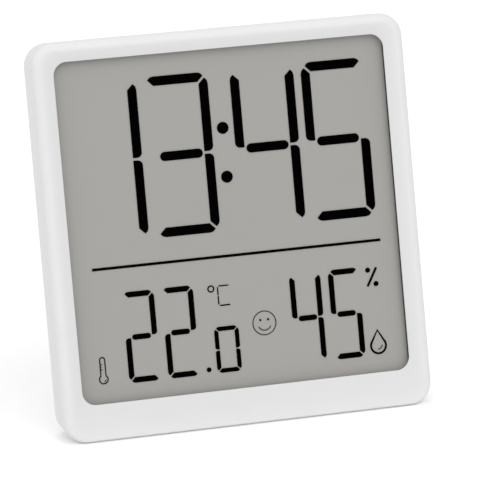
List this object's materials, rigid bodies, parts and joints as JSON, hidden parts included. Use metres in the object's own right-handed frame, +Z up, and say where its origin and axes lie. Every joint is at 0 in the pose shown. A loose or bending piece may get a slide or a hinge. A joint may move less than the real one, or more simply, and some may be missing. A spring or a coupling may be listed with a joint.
{
  "type": "digital clock with thermometer",
  "caption": "Square white desk clock with a large grey liquid-crystal display for time, temperature and humidity, rear setting buttons, battery door and fold-out easel leg.",
  "frame": {"origin": "centre of the standing clock's outline box, on the table plane", "axes": "+Z up, the display faces -Y and leans back by ten degrees, +X to the right seen from the front"},
  "size_m": [0.141, 0.0468, 0.1437],
  "materials": {
    "case_plastic": "white moulded plastic, satin",
    "inner_plastic": "light grey moulded plastic",
    "button_plastic": "light grey moulded plastic",
    "display_face": "anti-glare polarizing film",
    "display_glass": "clear float glass",
    "reflector_film": "silver reflecting film",
    "segment_black": "dark display segment",
    "gasket_foam": "closed-cell foam tape",
    "strip_rubber": "conductive rubber strip",
    "board_laminate": "green solder mask",
    "screw_steel": "zinc plated",
    "contact_nickel": "nickel plated",
    "resin_black": "black moulded resin",
    "sensor_ceramic": "white ceramic",
    "cell_sleeve": "plain dark sleeve over a metal can",
    "lead_black": "insulated wire",
    "lead_red": "insulated wire"
  },
  "bodies": {
    "case": {"front_bezel": "case_plastic", "rear_cover": "case_plastic", "lcd_gasket": "gasket_foam", "front_polarizer": "display_face", "front_glass": "display_glass", "rear_glass": "display_glass", "reflector": "reflector_film", "time_digit_1": "segment_black", "time_digit_2": "segment_black", "time_digit_3": "segment_black", "time_digit_4": "segment_black", "time_colon": "segment_black", "divider_line": "segment_black", "temperature_digit_1": "segment_black", "temperature_digit_2": "segment_black", "temperature_digit_3": "segment_black", "temperature_point": "segment_black", "humidity_digit_1": "segment_black", "humidity_digit_2": "segment_black", "zebra_strip": "strip_rubber", "lcd_holder": "inner_plastic", "holder_screw_1": "screw_steel", "holder_screw_2": "screw_steel", "holder_screw_3": "screw_steel", "holder_screw_4": "screw_steel", "main_board": "board_laminate", "board_screw_1": "screw_steel", "board_screw_2": "screw_steel", "board_screw_3": "screw_steel", "board_screw_4": "screw_steel", "controller_blob": "resin_black", "quartz_crystal": "contact_nickel", "thermistor": "resin_black", "humidity_sensor": "sensor_ceramic", "filter_capacitor_1": "resin_black", "filter_capacitor_2": "resin_black", "switch_body_1": "resin_black", "switch_body_2": "resin_black", "switch_body_3": "resin_black", "case_screw_1": "screw_steel", "case_screw_2": "screw_steel", "battery_cell": "cell_sleeve", "battery_spring": "contact_nickel", "negative_plate": "contact_nickel", "positive_plate": "contact_nickel", "negative_lead": "lead_black", "positive_lead": "lead_red"},
    "stand": {"stand_leg": "case_plastic"},
    "door": {"battery_door": "case_plastic"},
    "set_key": {"button_set": "button_plastic", "switch_plunger_1": "button_plastic"},
    "up_key": {"button_up": "button_plastic", "switch_plunger_2": "button_plastic"},
    "down_key": {"button_down": "button_plastic", "switch_plunger_3": "button_plastic"}
  },
  "joints": [
    {"name": "stand_fold", "type": "hinge", "parent": "case", "child": "stand", "pos_m": [0, 0.00871, 0.06132], "axis": [-1, 0, 0], "range_deg": [0, 16]},
    {"name": "door_open", "type": "hinge", "parent": "case", "child": "door", "pos_m": [-0.0024, 0.01218, 0.06893], "axis": [-1, 0, 0], "range_deg": [0, 75]},
    {"name": "set_press", "type": "slide", "parent": "case", "child": "set_key", "axis": [0, -0.9848, 0.1736], "range_m": [0, 0.0005], "stiffness_N_per_m": 400},
    {"name": "up_press", "type": "slide", "parent": "case", "child": "up_key", "axis": [0, -0.9848, 0.1736], "range_m": [0, 0.0005], "stiffness_N_per_m": 400},
    {"name": "down_press", "type": "slide", "parent": "case", "child": "down_key", "axis": [0, -0.9848, 0.1736], "range_m": [0, 0.0005], "stiffness_N_per_m": 400}
  ]
}
